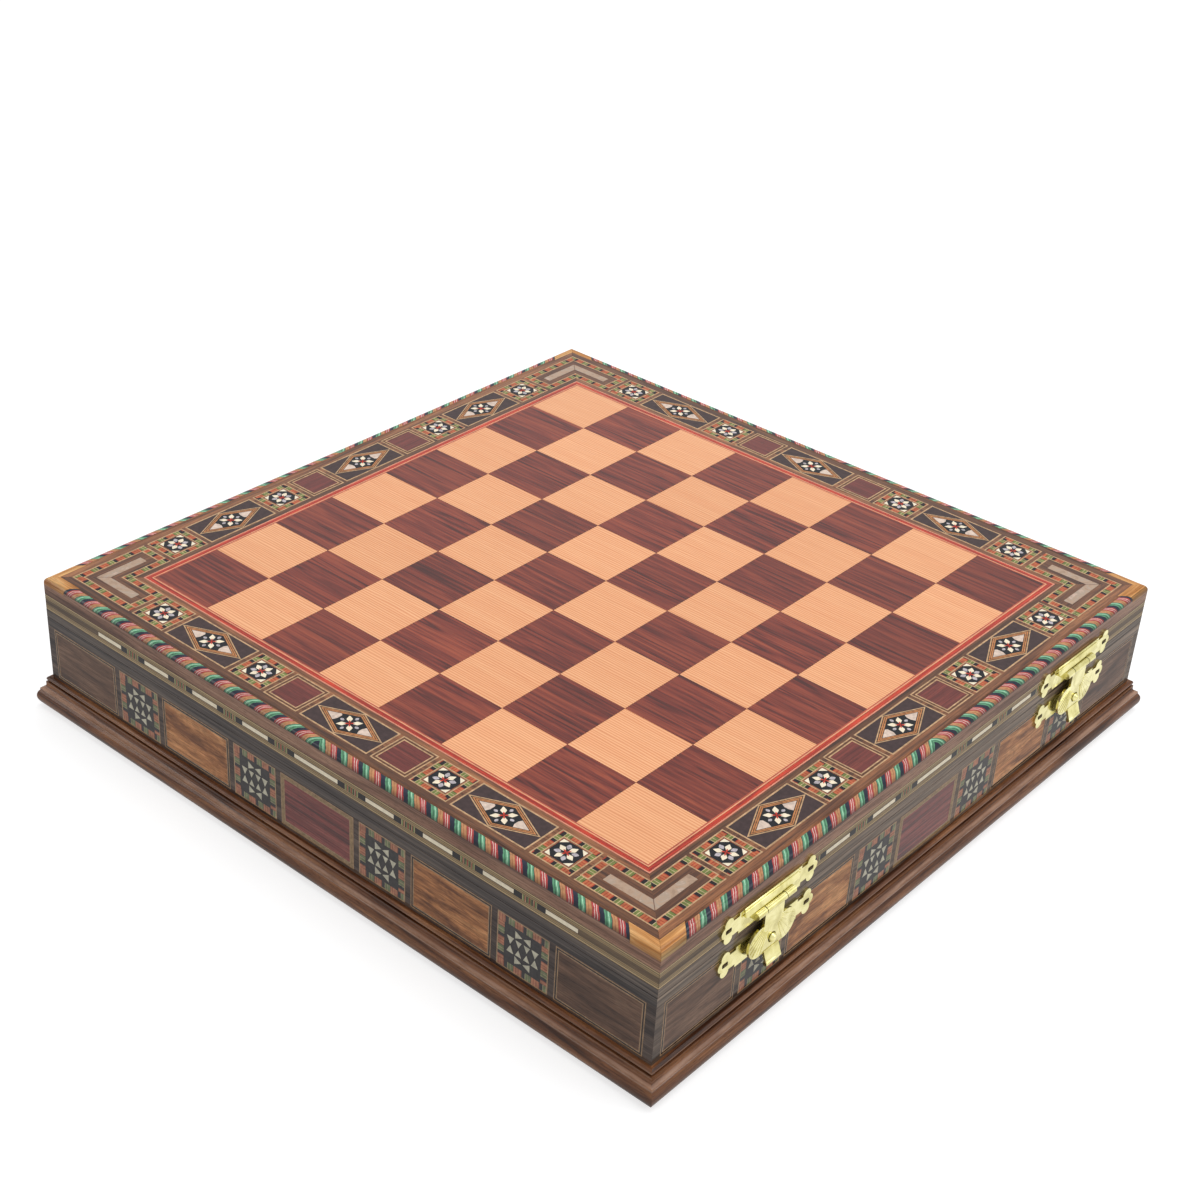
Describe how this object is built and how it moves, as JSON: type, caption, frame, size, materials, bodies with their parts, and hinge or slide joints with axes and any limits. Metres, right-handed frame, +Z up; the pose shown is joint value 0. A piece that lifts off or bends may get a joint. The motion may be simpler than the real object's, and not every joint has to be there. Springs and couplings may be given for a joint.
{
  "type": "chess box with hinged lid",
  "caption": "Inlaid wooden box with a hinged lid that is a chess board, brass hinges and clasps, a moulded plinth and slatted compartments inside.",
  "frame": {"origin": "centre of the footprint, on the surface that the plinth stands on", "axes": "+Z up, clasps on the -Y side, hinges on the +Y side"},
  "size_m": [0.3084, 0.3084, 0.058],
  "materials": {
    "walnut": "lacquered",
    "dark_walnut": "lacquered",
    "light_squares": "gloss lacquer",
    "rosewood": "gloss lacquer",
    "burl": "lacquered",
    "boxwood": "lacquered",
    "mosaic": "inlaid, lacquered",
    "panel_wood": "raw",
    "shell": "polished mother-of-pearl",
    "bone": "polished bone",
    "felt": "napped",
    "brass": "polished"
  },
  "bodies": {
    "base": {"bottom_panel": "panel_wood", "plinth_front": "dark_walnut", "plinth_right": "dark_walnut", "plinth_back": "dark_walnut", "plinth_left": "dark_walnut", "base_wall_front": "walnut", "base_wall_right": "walnut", "base_wall_back": "walnut", "base_wall_left": "walnut", "base_lining": "felt", "long_dividers": "walnut", "cross_dividers": "walnut", "side_walnut_panels": "walnut", "side_burl_panels": "burl", "side_red_panels": "rosewood", "side_mosaic_panels": "mosaic", "hinge_left_base_leaf": "brass", "hinge_right_base_leaf": "brass", "hinge_left_pin": "brass", "hinge_right_pin": "brass", "hinge_base_screws": "brass", "clasp_left_keeper": "brass", "clasp_right_keeper": "brass", "clasp_base_nails": "brass"},
    "lid": {"lid_rail_front": "walnut", "lid_rail_right": "walnut", "lid_rail_back": "walnut", "lid_rail_left": "walnut", "board_core": "panel_wood", "lid_lining": "felt", "light_squares": "light_squares", "dark_squares": "rosewood", "field_pale_lines": "bone", "field_red_line": "rosewood", "border_ground": "dark_walnut", "star_tiles": "mosaic", "diamond_tiles": "mosaic", "red_tiles": "rosewood", "corner_tiles": "mosaic", "shell_chevrons": "shell", "edge_strip_front": "mosaic", "edge_strip_right": "mosaic", "edge_strip_back": "mosaic", "edge_strip_left": "mosaic", "corner_blocks": "boxwood", "side_band": "mosaic", "bone_bars": "bone", "hinge_left_lid_leaf": "brass", "hinge_right_lid_leaf": "brass", "hinge_lid_screws": "brass", "clasp_left_plate": "brass", "clasp_right_plate": "brass", "clasp_left_pin": "brass", "clasp_right_pin": "brass", "clasp_lid_nails": "brass"},
    "left_tongue": {"clasp_left_tongue": "brass"},
    "right_tongue": {"clasp_right_tongue": "brass"}
  },
  "joints": [
    {"name": "lid_hinge", "type": "hinge", "parent": "base", "child": "lid", "pos_m": [0, 0.1517, 0.0406], "axis": [-1, 0, 0], "range_deg": [0, 110]},
    {"name": "left_clasp", "type": "hinge", "parent": "lid", "child": "left_tongue", "pos_m": [-0.095, -0.1517, 0.0467], "axis": [-1, 0, 0], "range_deg": [0, 150]},
    {"name": "right_clasp", "type": "hinge", "parent": "lid", "child": "right_tongue", "pos_m": [0.095, -0.1517, 0.0467], "axis": [-1, 0, 0], "range_deg": [0, 150]}
  ]
}
